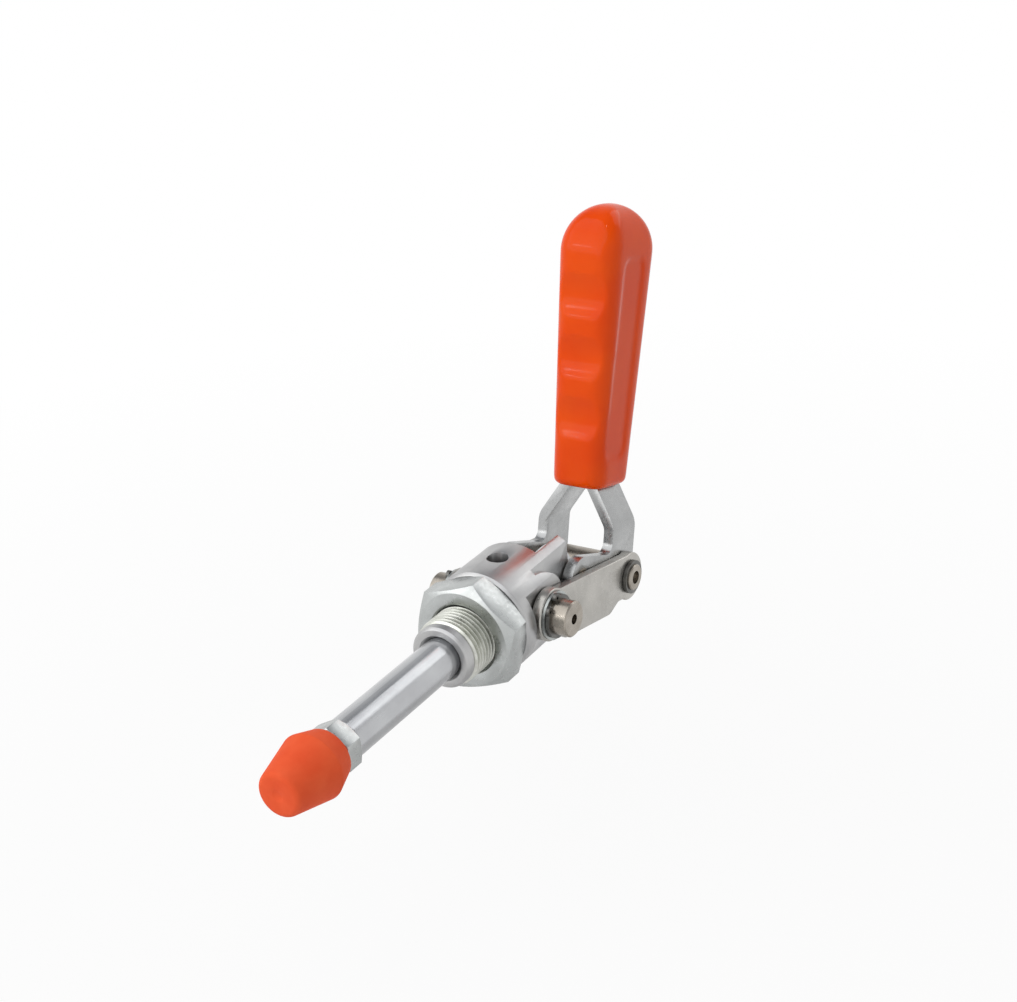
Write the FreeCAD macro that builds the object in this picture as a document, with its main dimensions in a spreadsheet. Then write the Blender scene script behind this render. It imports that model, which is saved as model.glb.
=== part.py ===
import FreeCAD, Part
import math
import os
import Sketcher

# Push-pull toggle clamp with a threaded nose.
# Frame: X forward along the plunger, Y to the clamp's left, Z up.
# Origin: on the plunger's axis, where the nose's free thread begins in front of the mounting nut.
# The clamp is drawn pushed forward.
# Pieces are drawn from the body's front shoulder, and the whole clamp then moves to its origin.

os.makedirs("parts", exist_ok=True)
doc = FreeCAD.newDocument("toggle_clamp")
sheet = doc.addObject("Spreadsheet::Sheet", "Sizes")

SIZES = [
    ("body_diameter", 32, "round bar that the body is turned from"),
    ("body_length", 34.5, "front shoulder to rear end"),
    ("shoulder_chamfer", 0.8, "edge of the front shoulder"),
    ("rear_round", 1, "turned round at the rear end"),
    ("nose_diameter", 20, "M20 x 1.5 thread, outside"),
    ("nut_thread_diameter", 19, "pitch line of the thread, where the nut holds it"),
    ("free_thread_gap", 0.3, "nut to the start of the free thread"),
    ("thread_length", 18.4, "shoulder to end of thread"),
    ("pilot_diameter", 18.6, "plain end of the nose"),
    ("pilot_length", 2.8, "plain end of the nose"),
    ("pilot_chamfer", 0.7, "edge of the plain end"),
    ("bore_clearance", 0.05, "plunger to bore, on the radius"),
    ("bore_mouth", 0.9, "chamfer at the bore's front end"),
    ("link_flat_width", 26, "across the flats that the links lie on"),
    ("link_flat_setback", 4.5, "shoulder to start of these flats"),
    ("land_radius", 11.5, "round end of each land about its pivot stud"),
    ("neck_width", 19, "across the narrow rear of the body"),
    ("slot_width", 14, "slot that opens the rear for the plunger"),
    ("slot_setback", 21.2, "shoulder to front end of the slot"),
    ("far_wall_height", 6.5, "top of the slot's right wall, milled down"),
    ("collar_gap", 0.8, "cross pin collar to its notch in the body"),
    ("oil_hole_diameter", 6.4, "hole in the body's top"),
    ("oil_hole_setback", 11.6, "shoulder to this hole"),
    ("mount_nut_flats", 30, "across flats"),
    ("mount_nut_thickness", 9.4, "along the thread"),
    ("mount_nut_mouth", 1.4, "chamfer at the bore's ends"),
    ("mount_nut_turn", 48, "how the nut happens to stand, degrees"),
    ("stud_setback", 13.5, "shoulder to the links' front pivot"),
    ("stud_diameter", 10.6, "journal and end of the stud"),
    ("stud_root_diameter", 10, "stud where it is pressed into the body"),
    ("stud_root_gap", 0.5, "root's end to the plunger"),
    ("stud_length", 23, "clamp's middle to the stud's outer end"),
    ("stud_chamfer", 0.4, "edge of the stud's end"),
    ("centre_hole", 3, "small hole in the stud's end"),
    ("centre_hole_depth", 2.5, "depth of this hole"),
    ("ring_thickness", 1, "retaining ring"),
    ("ring_groove", 0.35, "depth of its groove"),
    ("ring_band", 1.5, "band width of the ring"),
    ("ring_gap", 2.2, "open gap of the ring"),
    ("ear_radius", 1.35, "ear of the ring"),
    ("ear_hole", 0.5, "radius of the hole in an ear"),
    ("front_ring_turn", 30, "how the ring happens to stand, gap ahead of the top, degrees"),
    ("rear_ring_turn", 240, "how the ring happens to stand, gap ahead of the top, degrees"),
    ("ring_play", 0.1, "ring to link or washer"),
    ("washer_thickness", 0.8, "washer outside each link's front end"),
    ("washer_radius", 7.2, "this washer"),
    ("rod_diameter", 12, "plunger"),
    ("rod_front", 68.4, "shoulder to the plunger's front end"),
    ("rod_tail", 7, "cross pin to the plunger's rear end"),
    ("rod_chamfer", 0.6, "edges of the plunger"),
    ("tap_depth", 16, "threaded hole in the plunger's front"),
    ("tip_thread", 8, "M8 stud of the tip"),
    ("tip_stud_engagement", 13, "stud inside the plunger"),
    ("stud_point", 0.6, "chamfer at the stud's rear end"),
    ("tip_disc_diameter", 11, "stud's disc inside the rubber"),
    ("tip_disc_thickness", 3, "disc"),
    ("tip_disc_cover", 9, "rubber between the disc and the tip's face"),
    ("lock_nut_flats", 13, "across flats"),
    ("lock_nut_thickness", 6.5, "lock nut"),
    ("lock_nut_mouth", 0.4, "chamfer at the bore's ends"),
    ("lock_nut_turn", 58, "how the nut happens to stand, degrees"),
    ("nut_face_share", 0.95, "washer face as a share of the flats"),
    ("tip_neck_diameter", 15, "rubber tip at the nut"),
    ("tip_neck_length", 6.5, "nut to the tip's widest rim"),
    ("tip_rim_diameter", 19.4, "rubber tip at its rim"),
    ("tip_face_diameter", 12.6, "rubber tip's flat face with its round"),
    ("tip_cone_length", 14.5, "rim to face"),
    ("tip_round", 1.8, "round at the face's edge"),
    ("rim_round", 0.8, "round at the rim"),
    ("cross_pin_diameter", 6.4, "pin through the plunger's rear end"),
    ("collar_diameter", 9.2, "spacer collar on the cross pin"),
    ("collar_side_gap", 0.2, "plunger to collar"),
    ("open_pivot_gap", 0.3, "cross pin's end to the handle plate"),
    ("link_length", 47, "front pivot to rear pivot"),
    ("crank_length", 25, "cross pin to rear pivot, on the handle"),
    ("crank_angle", 22.5, "rear pivot below the plunger, degrees"),
    ("handle_lean", 14.8, "handle's lean to the rear, degrees"),
    ("link_front_radius", 7.8, "link's round end at the stud"),
    ("link_rear_radius", 7.4, "link's round end at the rear pivot"),
    ("link_upper", 7, "upper edge above the line of the holes"),
    ("link_lower", 9.2, "lower edge below the line of the holes"),
    ("link_waist", 6.4, "lower edge at the waist before the rear end"),
    ("link_waist_start", 35, "stud to the waist's slope"),
    ("link_waist_slope", 5, "length of this slope"),
    ("link_belly_start", 8, "stud to the start of the lower edge"),
    ("link_round", 3, "rounds of the lower edge"),
    ("link_thickness", 3.2, "link bar"),
    ("link_edge", 0.3, "broken edges of links and plates"),
    ("link_play", 0.2, "link to body flat and to handle plate"),
    ("pivot_clearance", 0.05, "pin to hole, on the radius"),
    ("rear_pin_diameter", 8, "pin of the rear pivot"),
    ("rear_pin_stand", 0.7, "pin beyond its retaining ring"),
    ("rear_pin_hole", 4, "hole in the pin's end"),
    ("rear_pin_hole_depth", 1.6, "depth of this hole"),
    ("plate_gap", 19.6, "between the two handle plates"),
    ("spacer_diameter", 12, "spacer tube on the rear pivot pin"),
    ("plate_thickness", 3.2, "handle plate"),
    ("leg_width", 14, "handle plate, upright leg"),
    ("toe_radius", 6.5, "handle plate's round end at the cross pin"),
    ("inner_corner", 3, "round between toe and leg"),
    ("bend_height", 15, "rear pivot to the plate's bend"),
    ("splay_angle", 32, "slope of the plate between its bends, degrees"),
    ("bend_round", 4, "inside round of the plate's bends"),
    ("tang_width", 12, "plate inside the grip"),
    ("tang_top", 88, "rear pivot to the plate's upper end"),
    ("rivet_diameter", 5, "rivet through both plates in the grip"),
    ("rivet_height", 45, "rear pivot to the lower rivet"),
    ("rivet_spacing", 32, "lower to upper rivet"),
    ("rivet_head", 1.4, "rivet beyond each plate"),
    ("grip_bottom", 26.4, "rear pivot to the grip's lower end"),
    ("grip_top", 111.3, "rear pivot to the grip's upper end"),
    ("grip_shift", 0.1, "grip's middle ahead of the leg's middle"),
    ("grip_depth_top", 30, "front to back, at the widest"),
    ("grip_depth_bottom", 21.4, "front to back, at the lower end"),
    ("grip_width_top", 20, "side to side, at the widest"),
    ("grip_width_bottom", 17.6, "side to side, at the lower end"),
    ("grip_dome", 14, "height of the rounded top"),
    ("grip_foot", 2, "small round at the lower edge"),
    ("grip_corner_share", 0.6, "section's corner radius as a share of its half width"),
    ("finger_pitch", 18.4, "finger hollow to finger hollow"),
    ("finger_first", 47, "rear pivot to the lowest hollow"),
    ("finger_radius", 16, "roundness of a hollow"),
    ("finger_depth", 1.3, "depth of a hollow"),
    ("panel_bottom", 35.4, "rear pivot to the side panel's lower end"),
    ("panel_top", 96, "rear pivot to the side panel's upper end"),
    ("panel_width", 12.4, "side panel"),
    ("panel_depth", 0.5, "side panel, below the grip's side"),
    ("panel_lead", 3.3, "panel's middle ahead of the grip's middle, at the rear pivot's height"),
    ("panel_lean", 1.8, "panel's lean to the rear along the grip, degrees"),
]
for row, (alias, value, note) in enumerate(SIZES, start=1):
    sheet.set(f"A{row}", note)
    sheet.set(f"B{row}", str(value))
    sheet.setAlias(f"B{row}", alias)
doc.recompute()
size = {alias: float(sheet.get(alias)) for alias, value, note in SIZES}

X_AXIS = FreeCAD.Vector(1, 0, 0)
Y_AXIS = FreeCAD.Vector(0, 1, 0)
Z_AXIS = FreeCAD.Vector(0, 0, 1)
SIDES = {"left": 1, "right": -1}
FINGERS = 3
parts = []

# Start of the nose's free thread, from the shoulder
FREE_THREAD = "(Sizes.mount_nut_thickness + Sizes.free_thread_gap)"

# Places of the three pivots, in the clamp's middle plane
LINK_DROP = "asin(Sizes.crank_length * sin(Sizes.crank_angle) / Sizes.link_length)"
CROSS_X = (f"-Sizes.stud_setback - Sizes.link_length * cos({LINK_DROP})"
           " + Sizes.crank_length * cos(Sizes.crank_angle)")
REAR_X = f"-Sizes.stud_setback - Sizes.link_length * cos({LINK_DROP})"
REAR_Z = "-Sizes.crank_length * sin(Sizes.crank_angle)"
link_drop = math.degrees(math.asin(
    size["crank_length"] * math.sin(math.radians(size["crank_angle"])) / size["link_length"]))
rear_x = -size["stud_setback"] - size["link_length"] * math.cos(math.radians(link_drop))
rear_z = -size["crank_length"] * math.sin(math.radians(size["crank_angle"]))
cross_x = rear_x + size["crank_length"] * math.cos(math.radians(size["crank_angle"]))

# Distances from the middle plane, stacked outwards
PLATE_INNER = "Sizes.plate_gap / 2"
PLATE_OUTER = "(Sizes.plate_gap / 2 + Sizes.plate_thickness)"
LINK_INNER = "(Sizes.plate_gap / 2 + Sizes.plate_thickness + Sizes.link_play)"
LINK_OUTER = "(Sizes.plate_gap / 2 + Sizes.plate_thickness + Sizes.link_play + Sizes.link_thickness)"
REAR_RING_IN = f"({LINK_OUTER} + Sizes.ring_play)"
REAR_RING_OUT = f"({REAR_RING_IN} + Sizes.ring_thickness)"
WASHER_INNER = f"({LINK_OUTER} + Sizes.ring_play)"
FRONT_RING_IN = f"({WASHER_INNER} + Sizes.washer_thickness + Sizes.ring_play)"
FRONT_RING_OUT = f"({FRONT_RING_IN} + Sizes.ring_thickness)"


def keep(obj, label):
    """Names a finished piece, which becomes one file."""
    obj.Label = label
    parts.append(obj)
    return obj


def new_body(name):
    return doc.addObject("PartDesign::Body", name)


def plane_of(body, role):
    """The body's own origin plane or axis of that role."""
    return next(f for f in body.Origin.OriginFeatures if f.Role == role)


def new_sketch(body, role, name, lift=None):
    """A sketch on an origin plane, raised along the plane's normal by an expression."""
    sketch = body.newObject("Sketcher::SketchObject", name)
    sketch.AttachmentSupport = [(plane_of(body, role), "")]
    sketch.MapMode = "FlatFace"
    if lift:
        sketch.setExpression("AttachmentOffset.Base.z", lift)
    return sketch


def number_of(expression):
    """What an expression gives with the sheet as it is."""
    return float(sheet.evalExpression(expression.replace("Sizes.", "")))


def evaluated(place):
    """The point that a pair of expressions gives."""
    return FreeCAD.Vector(*[number_of(expression) for expression in place], 0)


def bind(sketch, kind, targets, expression):
    """A measured constraint that follows an expression."""
    number = sketch.addConstraint(Sketcher.Constraint(kind, *targets, number_of(expression)))
    sketch.setExpression(f"Constraints[{number}]", expression)


def pin_point(sketch, geo, end, place):
    """Ties one point of a sketch to two expressions."""
    for kind, expression in zip(("DistanceX", "DistanceY"), place):
        bind(sketch, kind, (-1, 1, geo, end), expression)


def add_outline(sketch, corners):
    """A closed outline of straight lines through corners, each a pair of expressions."""
    spots = [evaluated(corner) for corner in corners]
    first = sketch.GeometryCount
    for i, spot in enumerate(spots):
        sketch.addGeometry(Part.LineSegment(spot, spots[(i + 1) % len(spots)]))
    for i, corner in enumerate(corners):
        follower = first + (i + 1) % len(spots)
        sketch.addConstraint(Sketcher.Constraint("Coincident", first + i, 2, follower, 1))
        pin_point(sketch, first + i, 1, corner)


def add_circle(sketch, centre, radius):
    """A circle whose centre and radius are expressions."""
    spot = evaluated(centre)
    geo = sketch.addGeometry(Part.Circle(spot, Z_AXIS, number_of(radius)))
    pin_point(sketch, geo, 3, centre)
    bind(sketch, "Radius", (geo,), radius)


def revolve(body, sketch, axis, kind="PartDesign::Revolution"):
    """Turns a sketch a full turn about the sketch's own H_Axis or V_Axis."""
    turned = body.newObject(kind, sketch.Name + "_turned")
    turned.Profile = sketch
    turned.ReferenceAxis = (sketch, [axis])
    turned.Angle = 360
    return turned


def cut_through(body, sketch, both_ways=True, reversed_way=False):
    """Cuts a sketch right through the body."""
    pocket = body.newObject("PartDesign::Pocket", sketch.Name + "_cut")
    pocket.Profile = sketch
    pocket.Type = 1
    pocket.Midplane = both_ways
    pocket.Reversed = reversed_way
    return pocket


def dress(body, kind, name, picked, expression):
    """Rounds or chamfers the picked edges or faces of the body as it stands."""
    base = body.Tip
    feature = body.newObject(kind, name)
    feature.Base = (base, picked)
    feature.setExpression("Size" if kind.endswith("Chamfer") else "Radius", expression)
    doc.recompute()
    return feature


def turned_piece(name, outline, axis="H_Axis"):
    """A piece turned about X from an outline of (along X, radius), or about Y from (radius, along Y)."""
    body = new_body(name)
    sketch = new_sketch(body, "XZ_Plane" if axis == "H_Axis" else "XY_Plane", name + "_outline")
    add_outline(sketch, outline)
    revolve(body, sketch, axis)
    return body


def place(obj, x="0", y="0", z="0"):
    """Moves a piece to three expressions."""
    for key, expression in zip("xyz", (x, y, z)):
        obj.setExpression(f".Placement.Base.{key}", expression)


def to_origin(pieces):
    """Moves pieces drawn from the shoulder back, so that the origin is where the free thread begins."""
    for piece in pieces:
        drawn = [expression for path, expression in piece.ExpressionEngine if path.endswith("Base.x")]
        x = drawn[0] if drawn else "0"
        piece.setExpression(".Placement.Base.x", f"{x} - {FREE_THREAD}")


def make_body():
    """The clamp's body: a turned bar with a threaded nose, milled at the rear for the linkage."""
    bar = new_body("body_bar")
    outline = new_sketch(bar, "XZ_Plane", "bar_outline")
    bore = "Sizes.rod_diameter / 2 + Sizes.bore_clearance"
    rear = "-Sizes.body_length"
    nose_end = "Sizes.thread_length + Sizes.pilot_length"
    add_outline(outline, [
        (rear, bore),
        (rear, "Sizes.body_diameter / 2"),
        ("-Sizes.shoulder_chamfer", "Sizes.body_diameter / 2"),
        ("0", "Sizes.body_diameter / 2 - Sizes.shoulder_chamfer"),
        ("0", "Sizes.nut_thread_diameter / 2"),
        (FREE_THREAD, "Sizes.nut_thread_diameter / 2"),
        (FREE_THREAD, "Sizes.nose_diameter / 2"),
        ("Sizes.thread_length - Sizes.pilot_chamfer", "Sizes.nose_diameter / 2"),
        ("Sizes.thread_length", "Sizes.pilot_diameter / 2"),
        (nose_end + " - Sizes.pilot_chamfer", "Sizes.pilot_diameter / 2"),
        (nose_end, "Sizes.pilot_diameter / 2 - Sizes.pilot_chamfer"),
        (nose_end, bore + " + Sizes.bore_mouth"),
        (nose_end + " - Sizes.bore_mouth", bore),
    ])
    revolve(bar, outline, "H_Axis")
    doc.recompute()

    rear_edge = [f"Edge{i}" for i, edge in enumerate(bar.Tip.Shape.Edges, start=1)
                 if abs(edge.BoundBox.XMin + size["body_length"]) < 0.001
                 and abs(edge.BoundBox.XMax + size["body_length"]) < 0.001
                 and abs(edge.BoundBox.ZMax - size["body_diameter"] / 2) < 0.001]
    dress(bar, "PartDesign::Fillet", "rear_end_round", rear_edge, "Sizes.rear_round")

    past = "-Sizes.body_length - Sizes.rear_round"
    outside = "Sizes.body_diameter"
    flats = new_sketch(bar, "XY_Plane", "link_flats")
    for sign in ("", "-"):
        add_outline(flats, [
            ("-Sizes.link_flat_setback", f"{sign}Sizes.link_flat_width / 2"),
            ("-Sizes.link_flat_setback", f"{sign}{outside}"),
            (past, f"{sign}{outside}"),
            (past, f"{sign}Sizes.link_flat_width / 2"),
        ])
    cut_through(bar, flats)
    doc.recompute()

    slot = new_sketch(bar, "XY_Plane", "plunger_slot")
    add_outline(slot, [
        ("-Sizes.slot_setback", "Sizes.slot_width / 2"),
        (past, "Sizes.slot_width / 2"),
        (past, "-Sizes.slot_width / 2"),
        ("-Sizes.slot_setback", "-Sizes.slot_width / 2"),
    ])
    cut_through(bar, slot)
    doc.recompute()

    oil_hole = new_sketch(bar, "XY_Plane", "oil_hole")
    add_circle(oil_hole, ("-Sizes.oil_hole_setback", "0"), "Sizes.oil_hole_diameter / 2")
    cut_through(bar, oil_hole, both_ways=False, reversed_way=True)
    doc.recompute()

    stud_holes = new_sketch(bar, "XZ_Plane", "stud_holes")
    add_circle(stud_holes, ("-Sizes.stud_setback", "0"), "Sizes.stud_root_diameter / 2")
    cut_through(bar, stud_holes)
    doc.recompute()

    # The neck: both sides milled away behind the round lands
    reach = "Sizes.body_diameter"
    neck_cutter = doc.addObject("Part::Box", "neck_cutter")
    neck_cutter.setExpression("Length", "Sizes.body_length - Sizes.stud_setback + Sizes.rear_round")
    neck_cutter.setExpression("Width", f"{reach} * 2")
    neck_cutter.setExpression("Height", f"{reach} * 2")
    place(neck_cutter, past, f"-{reach}", f"-{reach}")
    neck_core = doc.addObject("Part::Box", "neck_core")
    neck_core.setExpression("Length", "Sizes.body_length + Sizes.rear_round")
    neck_core.setExpression("Width", "Sizes.neck_width")
    neck_core.setExpression("Height", f"{reach} * 2")
    place(neck_core, past, "-Sizes.neck_width / 2", f"-{reach}")
    land = doc.addObject("Part::Cylinder", "land")
    land.setExpression("Radius", "Sizes.land_radius")
    land.setExpression("Height", f"{reach} * 2")
    land.Placement.Rotation = FreeCAD.Rotation(X_AXIS, -90)
    place(land, "-Sizes.stud_setback", f"-{reach}", "0")
    kept = doc.addObject("Part::MultiFuse", "neck_kept")
    kept.Shapes = [neck_core, land]
    waste = doc.addObject("Part::Cut", "neck_waste")
    waste.Base = neck_cutter
    waste.Tool = kept

    # Notches at the rear end where the cross pin's collars nest
    notch_radius = "Sizes.collar_diameter / 2 + Sizes.collar_gap"
    notch_round = doc.addObject("Part::Cylinder", "notch_round")
    notch_round.setExpression("Radius", notch_radius)
    notch_round.setExpression("Height", f"{reach} * 2")
    notch_round.Placement.Rotation = FreeCAD.Rotation(X_AXIS, -90)
    place(notch_round, CROSS_X, f"-{reach}", "0")
    notch_mouth = doc.addObject("Part::Box", "notch_mouth")
    notch_mouth.setExpression("Length", f"Sizes.body_length * 2 + Sizes.rear_round + ({CROSS_X})")
    notch_mouth.setExpression("Width", f"{reach} * 2")
    notch_mouth.setExpression("Height", f"({notch_radius}) * 2")
    place(notch_mouth, f"{past} - Sizes.body_length", f"-{reach}", f"-({notch_radius})")

    # The slot's right wall is milled down
    wall_cutter = doc.addObject("Part::Box", "wall_cutter")
    wall_cutter.setExpression("Length", "Sizes.body_length - Sizes.slot_setback + Sizes.rear_round")
    wall_cutter.setExpression("Width", reach)
    wall_cutter.setExpression("Height", reach)
    place(wall_cutter, past, f"-{reach}", "Sizes.far_wall_height")

    milled = doc.addObject("Part::MultiFuse", "milled_away")
    milled.Shapes = [waste, notch_round, notch_mouth, wall_cutter]
    finished = doc.addObject("Part::Cut", "body_milled")
    finished.Base = bar
    finished.Tool = milled
    keep(finished, "clamp_body")


def hex_nut(label, flats, thickness, bore, rear, turn, mouth_depth):
    """A hexagon nut on the plunger's axis: a turned blank with chamfered faces, cut to six flats."""
    corner = f"{flats} / sqrt(3)"
    face = f"{flats} / 2 * Sizes.nut_face_share"
    slope = f"(({corner}) - {face}) * tan(30)"
    mouth = f"({bore}) + {mouth_depth}"
    blank = turned_piece(label + "_blank", [
        (f"{rear}", mouth),
        (f"{rear}", face),
        (f"{rear} + {slope}", corner),
        (f"{rear} + {thickness} - {slope}", corner),
        (f"{rear} + {thickness}", face),
        (f"{rear} + {thickness}", mouth),
        (f"{rear} + {thickness} - {mouth_depth}", bore),
        (f"{rear} + {mouth_depth}", bore),
    ])
    prism = doc.addObject("Part::Prism", label + "_hexagon")
    prism.Polygon = 6
    prism.setExpression("Circumradius", corner)
    prism.setExpression("Height", thickness)
    upright = FreeCAD.Rotation(Y_AXIS, 90)
    prism.Placement.Rotation = FreeCAD.Rotation(X_AXIS, size[turn]).multiply(upright)
    place(prism, rear)
    nut = doc.addObject("Part::Common", label + "_nut")
    nut.Base = blank
    nut.Tool = prism
    keep(nut, label)


def make_pivot_stud(side):
    """Stud pressed into the body's side: the link turns on it, outside it a retaining ring."""
    journal = "Sizes.stud_diameter / 2"
    root = "Sizes.rod_diameter / 2 + Sizes.stud_root_gap"
    groove = f"{journal} - Sizes.ring_groove"
    stud = turned_piece("stud_" + side, [
        ("0", root),
        ("Sizes.stud_root_diameter / 2", root),
        ("Sizes.stud_root_diameter / 2", "Sizes.link_flat_width / 2"),
        (journal, "Sizes.link_flat_width / 2"),
        (journal, FRONT_RING_IN),
        (groove, FRONT_RING_IN),
        (groove, FRONT_RING_OUT),
        (journal, FRONT_RING_OUT),
        (journal, "Sizes.stud_length - Sizes.stud_chamfer"),
        (f"{journal} - Sizes.stud_chamfer", "Sizes.stud_length"),
        ("Sizes.centre_hole / 2", "Sizes.stud_length"),
        ("Sizes.centre_hole / 2", "Sizes.stud_length - Sizes.centre_hole_depth"),
        ("0", "Sizes.stud_length - Sizes.centre_hole_depth"),
    ], "V_Axis")
    stud.Placement.Rotation = FreeCAD.Rotation(Z_AXIS, 0 if SIDES[side] > 0 else 180)
    place(stud, "-Sizes.stud_setback")
    keep(stud, "pivot_stud_" + side)


def make_washer(side):
    """Washer between a link's front end and its retaining ring."""
    washer = turned_piece("washer_" + side, [
        ("Sizes.stud_diameter / 2 + Sizes.pivot_clearance", WASHER_INNER),
        ("Sizes.washer_radius", WASHER_INNER),
        ("Sizes.washer_radius", f"{WASHER_INNER} + Sizes.washer_thickness"),
        ("Sizes.stud_diameter / 2 + Sizes.pivot_clearance", f"{WASHER_INNER} + Sizes.washer_thickness"),
    ], "V_Axis")
    washer.Placement.Rotation = FreeCAD.Rotation(Z_AXIS, 0 if SIDES[side] > 0 else 180)
    place(washer, "-Sizes.stud_setback")
    keep(washer, "front_washer_" + side)


def make_ring(label, side, groove_radius, centre_x, centre_z, near, far, turn, eared):
    """Retaining ring of sheet steel, open on one side, with or without ears at its ends."""

    def disc(name, radius, x="0", z="0"):
        piece = doc.addObject("Part::Cylinder", f"{label}_{name}")
        piece.setExpression("Radius", radius)
        piece.setExpression("Height", "Sizes.ring_thickness")
        piece.Placement.Rotation = FreeCAD.Rotation(X_AXIS, -90)
        place(piece, x, "0", z)
        return piece

    middle = f"({groove_radius}) + Sizes.ring_band / 2"
    ear_out = f"({groove_radius}) + Sizes.ring_band"
    ear_side = "Sizes.ring_gap / 2 + Sizes.ear_radius"
    band = doc.addObject("Part::Cut", label + "_band")
    band.Base = disc("outer", f"({groove_radius}) + Sizes.ring_band")
    band.Tool = disc("inner", groove_radius)
    gap = doc.addObject("Part::Box", label + "_gap")
    gap.setExpression("Length", "Sizes.ring_gap")
    gap.setExpression("Width", "Sizes.ring_thickness")
    gap.setExpression("Height", f"({ear_out}) + Sizes.ear_radius")
    place(gap, "-Sizes.ring_gap / 2")
    opened = doc.addObject("Part::Cut", label + "_opened")
    opened.Base = band
    opened.Tool = gap
    ring = opened
    if eared:
        ears = doc.addObject("Part::MultiFuse", label + "_ears")
        ears.Shapes = [opened,
                       disc("ear_front", "Sizes.ear_radius", ear_side, middle),
                       disc("ear_rear", "Sizes.ear_radius", f"-({ear_side})", middle)]
        holes = doc.addObject("Part::MultiFuse", label + "_holes")
        holes.Shapes = [disc("hole_front", "Sizes.ear_hole", ear_side, middle),
                        disc("hole_rear", "Sizes.ear_hole", f"-({ear_side})", middle),
                        disc("seat", groove_radius)]
        ring = doc.addObject("Part::Cut", label + "_ring")
        ring.Base = ears
        ring.Tool = holes
    ring.Placement.Rotation = FreeCAD.Rotation(Y_AXIS, size[turn])
    start = near if SIDES[side] > 0 else f"-{far}"
    place(ring, centre_x, start, centre_z)
    keep(ring, label)


def make_plunger():
    """Plunger rod with a threaded hole in front, its cross pin and the pin's two collars."""
    tap = "Sizes.tip_thread / 2"
    tail = f"({CROSS_X}) - Sizes.rod_tail"
    radius = "Sizes.rod_diameter / 2"
    rod = turned_piece("rod", [
        (tail, "0"),
        (tail, f"{radius} - Sizes.rod_chamfer"),
        (f"{tail} + Sizes.rod_chamfer", radius),
        ("Sizes.rod_front - Sizes.rod_chamfer", radius),
        ("Sizes.rod_front", f"{radius} - Sizes.rod_chamfer"),
        ("Sizes.rod_front", tap),
        ("Sizes.rod_front - Sizes.tap_depth", tap),
        ("Sizes.rod_front - Sizes.tap_depth", "0"),
    ])
    doc.recompute()
    cross_hole = new_sketch(rod, "XZ_Plane", "cross_hole")
    add_circle(cross_hole, (CROSS_X, "0"), "Sizes.cross_pin_diameter / 2")
    cut_through(rod, cross_hole)
    keep(rod, "plunger_rod")

    pin_end = "Sizes.plate_gap / 2 - Sizes.open_pivot_gap"
    pin = doc.addObject("Part::Cylinder", "pin")
    pin.setExpression("Radius", "Sizes.cross_pin_diameter / 2")
    pin.setExpression("Height", f"({pin_end}) * 2")
    pin.Placement.Rotation = FreeCAD.Rotation(X_AXIS, -90)
    place(pin, CROSS_X, f"-({pin_end})")
    keep(pin, "plunger_cross_pin")

    collar_in = "Sizes.rod_diameter / 2 + Sizes.collar_side_gap"
    for side in SIDES:
        collar = turned_piece("collar_" + side, [
            ("Sizes.cross_pin_diameter / 2", collar_in),
            ("Sizes.collar_diameter / 2 - Sizes.link_edge", collar_in),
            ("Sizes.collar_diameter / 2", f"{collar_in} + Sizes.link_edge"),
            ("Sizes.collar_diameter / 2", f"{pin_end} - Sizes.link_edge"),
            ("Sizes.collar_diameter / 2 - Sizes.link_edge", pin_end),
            ("Sizes.cross_pin_diameter / 2", pin_end),
        ], "V_Axis")
        collar.Placement.Rotation = FreeCAD.Rotation(Z_AXIS, 0 if SIDES[side] > 0 else 180)
        place(collar, CROSS_X)
        keep(collar, "cross_pin_collar_" + side)


def make_tip():
    """Rubber tip moulded on a threaded stud with a disc, locked against the plunger by a nut."""
    seat = "Sizes.rod_front + Sizes.lock_nut_thickness"
    rim = f"{seat} + Sizes.tip_neck_length"
    face = f"{rim} + Sizes.tip_cone_length"
    disc = f"{face} - Sizes.tip_disc_cover"
    thread = "Sizes.tip_thread / 2"
    stud_rear = "Sizes.rod_front - Sizes.tip_stud_engagement"
    stud = turned_piece("tip_stud_turned", [
        (stud_rear, "0"),
        (stud_rear, f"{thread} - Sizes.stud_point"),
        (f"{stud_rear} + Sizes.stud_point", thread),
        (f"{disc} - Sizes.tip_disc_thickness", thread),
        (f"{disc} - Sizes.tip_disc_thickness", "Sizes.tip_disc_diameter / 2"),
        (disc, "Sizes.tip_disc_diameter / 2"),
        (disc, "0"),
    ])
    keep(stud, "tip_stud")

    rubber = turned_piece("rubber", [
        (seat, thread),
        (seat, "Sizes.tip_neck_diameter / 2"),
        (rim, "Sizes.tip_rim_diameter / 2"),
        (face, "Sizes.tip_face_diameter / 2"),
        (face, "0"),
        (disc, "0"),
        (disc, "Sizes.tip_disc_diameter / 2"),
        (f"{disc} - Sizes.tip_disc_thickness", "Sizes.tip_disc_diameter / 2"),
        (f"{disc} - Sizes.tip_disc_thickness", thread),
    ])
    doc.recompute()
    rim_at = size["rod_front"] + size["lock_nut_thickness"] + size["tip_neck_length"]
    for name, at, radius in (("face_edge", rim_at + size["tip_cone_length"], "tip_round"),
                             ("rim_edge", rim_at, "rim_round")):
        doc.recompute()
        edges = [f"Edge{i}" for i, edge in enumerate(rubber.Tip.Shape.Edges, start=1)
                 if abs(edge.BoundBox.XMin - at) < 0.001 and abs(edge.BoundBox.XMax - at) < 0.001]
        dress(rubber, "PartDesign::Fillet", name, edges, "Sizes." + radius)
    keep(rubber, "rubber_tip")


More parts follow.
